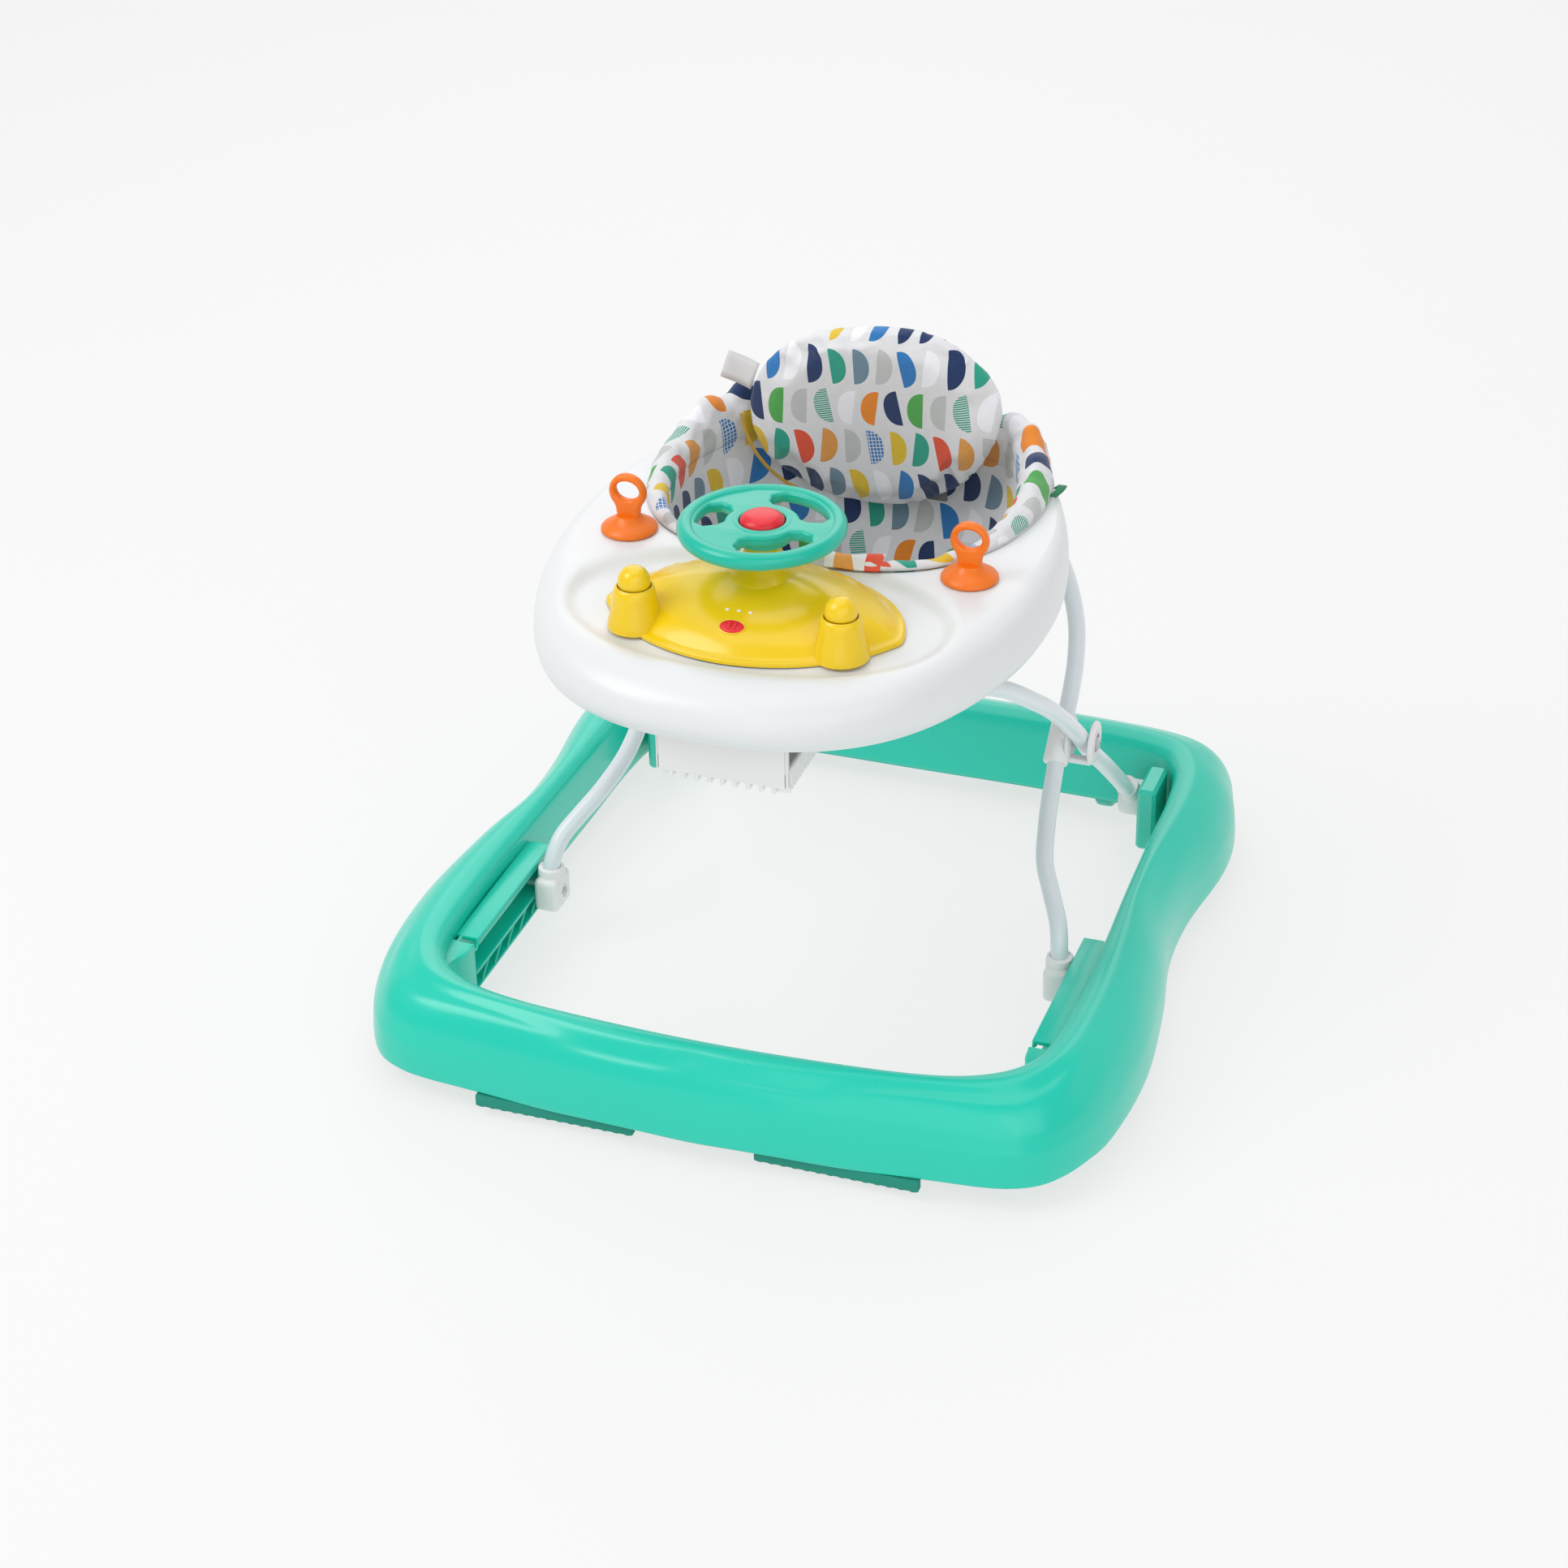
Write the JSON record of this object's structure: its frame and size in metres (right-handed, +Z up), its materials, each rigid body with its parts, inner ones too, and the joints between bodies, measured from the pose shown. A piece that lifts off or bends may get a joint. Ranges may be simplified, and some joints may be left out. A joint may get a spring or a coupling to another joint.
{
  "type": "baby walker",
  "caption": "Folding baby walker: wheeled green base ring, scissor leg frames, egg-shaped tray with toy station and steering wheel, padded sling seat.",
  "frame": {"origin": "on the floor, under the middle of the base ring", "axes": "+Z up, -Y to the front of the walker, +X to the seated child's left"},
  "size_m": [0.654, 0.675, 0.5334],
  "materials": {
    "base_green": "glossy moulded teal green plastic",
    "strip_rubber": "matt dark green rubber",
    "fork_green": "dark green moulded plastic",
    "wheel_green": "green moulded plastic",
    "tube_white": "white powder coated steel tube",
    "tray_white": "satin white moulded plastic",
    "fitting_white": "white moulded plastic",
    "station_yellow": "glossy yellow plastic",
    "loop_orange": "glossy orange plastic",
    "button_red": "glossy red plastic",
    "wheel_teal": "glossy teal plastic",
    "zinc_steel": "zinc plated steel",
    "inner_black": "black plastic",
    "cell_grey": "battery cell jacket",
    "board_green": "circuit board",
    "seat_print": "light grey polyester with a coloured half-moon print",
    "label_white": "plain white woven label",
    "strap_green": "green elastic"
  },
  "bodies": {
    "base": {"base_shell": "base_green", "slide_channel_left": "base_green", "slide_channel_right": "base_green", "rear_pivot_block_left": "base_green", "rear_pivot_block_right": "base_green", "rear_pivot_pin_left": "zinc_steel", "rear_pivot_pin_right": "zinc_steel", "grip_strip_front_left": "strip_rubber", "grip_strip_front_right": "strip_rubber", "grip_strip_rear_left": "strip_rubber", "grip_strip_rear_right": "strip_rubber", "rear_caster_fork_left": "fork_green", "rear_caster_fork_right": "fork_green", "rear_axle_left": "zinc_steel", "rear_axle_right": "zinc_steel"},
    "rear_frame": {"rear_leg_frame": "tube_white", "rear_foot_bracket_left": "fitting_white", "rear_foot_bracket_right": "fitting_white"},
    "front_frame": {"front_leg_frame": "tube_white", "front_foot_cap_left": "fitting_white", "front_foot_cap_right": "fitting_white", "slide_pin_left": "zinc_steel", "slide_pin_right": "zinc_steel", "cross_bracket_left": "fitting_white", "cross_bracket_right": "fitting_white", "cross_bolt_left": "zinc_steel", "cross_bolt_right": "zinc_steel"},
    "tray": {"tray_shell": "tray_white", "rack_housing": "fitting_white", "toy_cover": "station_yellow", "battery_box": "inner_black", "battery_door": "fitting_white", "battery_cell_front": "cell_grey", "battery_cell_rear": "cell_grey", "circuit_board": "board_green", "speaker": "inner_black", "seat_sling": "seat_print", "seat_back_pad": "seat_print", "seat_back_board": "inner_black", "seat_label": "label_white", "elastic_strap": "strap_green", "hinge_saddle_left": "fitting_white", "hinge_saddle_right": "fitting_white", "toy_loop_left": "loop_orange", "toy_loop_right": "loop_orange"},
    "release_lever": {"release_lever": "fitting_white"},
    "steering_wheel": {"steering_wheel": "wheel_teal", "horn_spring": "zinc_steel"},
    "horn_button": {"horn_button": "button_red"},
    "volume_switch": {"volume_switch": "button_red"},
    "dome_button_left": {"dome_button_left": "station_yellow"},
    "front_caster_left": {"front_caster_fork_left": "fork_green", "front_axle_left": "zinc_steel"},
    "front_wheel_left": {"front_wheel_left": "wheel_green"},
    "rear_wheel_left": {"rear_wheel_left": "wheel_green"},
    "dome_button_right": {"dome_button_right": "station_yellow"},
    "front_caster_right": {"front_caster_fork_right": "fork_green", "front_axle_right": "zinc_steel"},
    "front_wheel_right": {"front_wheel_right": "wheel_green"},
    "rear_wheel_right": {"rear_wheel_right": "wheel_green"}
  },
  "joints": [
    {"name": "fold", "type": "hinge", "parent": "base", "child": "rear_frame", "pos_m": [0, 0.238, 0.053], "axis": [1, 0, 0], "range_deg": [0, 30]},
    {"name": "frame_cross", "type": "hinge", "parent": "rear_frame", "child": "front_frame", "pos_m": [0, 0.0875, 0.193], "axis": [1, 0, 0], "range_deg": [-60, 0]},
    {"name": "tray_hinge", "type": "hinge", "parent": "front_frame", "child": "tray", "pos_m": [0, 0.2, 0.33], "axis": [1, 0, 0], "range_deg": [0, 37.08]},
    {"name": "lever_pull", "type": "slide", "parent": "tray", "child": "release_lever", "axis": [0, 1, 0], "range_m": [0, 0.009], "stiffness_N_per_m": 400, "springref_m": -0.004},
    {"name": "wheel_steer", "type": "hinge", "parent": "tray", "child": "steering_wheel", "pos_m": [0, -0.135, 0.474], "axis": [0, 0, 1], "continuous": true},
    {"name": "horn_press", "type": "slide", "parent": "steering_wheel", "child": "horn_button", "axis": [0, 0, -1], "range_m": [0, 0.003], "stiffness_N_per_m": 700, "springref_m": -0.001, "deforming": ["horn_spring"]},
    {"name": "volume_slide", "type": "slide", "parent": "tray", "child": "volume_switch", "axis": [1, 0, 0], "range_m": [-0.0035, 0.0035]},
    {"name": "dome_press_left", "type": "slide", "parent": "tray", "child": "dome_button_left", "axis": [0, 0, -1], "range_m": [0, 0.0027], "stiffness_N_per_m": 600, "springref_m": -0.001},
    {"name": "dome_press_right", "type": "slide", "parent": "tray", "child": "dome_button_right", "axis": [0, 0, -1], "range_m": [0, 0.0027], "stiffness_N_per_m": 600, "springref_m": -0.001},
    {"name": "caster_swivel_left", "type": "hinge", "parent": "base", "child": "front_caster_left", "pos_m": [0.256, -0.281, 0.05], "axis": [0, 0, 1], "continuous": true},
    {"name": "caster_swivel_right", "type": "hinge", "parent": "base", "child": "front_caster_right", "pos_m": [-0.256, -0.281, 0.05], "axis": [0, 0, 1], "continuous": true},
    {"name": "front_roll_left", "type": "hinge", "parent": "front_caster_left", "child": "front_wheel_left", "pos_m": [0.256, -0.275, 0.02], "axis": [1, 0, 0], "continuous": true},
    {"name": "rear_roll_left", "type": "hinge", "parent": "base", "child": "rear_wheel_left", "pos_m": [0.175, 0.305, 0.02], "axis": [1, 0, 0], "continuous": true},
    {"name": "front_roll_right", "type": "hinge", "parent": "front_caster_right", "child": "front_wheel_right", "pos_m": [-0.256, -0.275, 0.02], "axis": [1, 0, 0], "continuous": true},
    {"name": "rear_roll_right", "type": "hinge", "parent": "base", "child": "rear_wheel_right", "pos_m": [-0.175, 0.305, 0.02], "axis": [1, 0, 0], "continuous": true}
  ],
  "couplings": [
    {"joint": "frame_cross", "follows": "fold", "ratio": -2},
    {"joint": "tray_hinge", "follows": "fold", "ratio": 1.236}
  ]
}
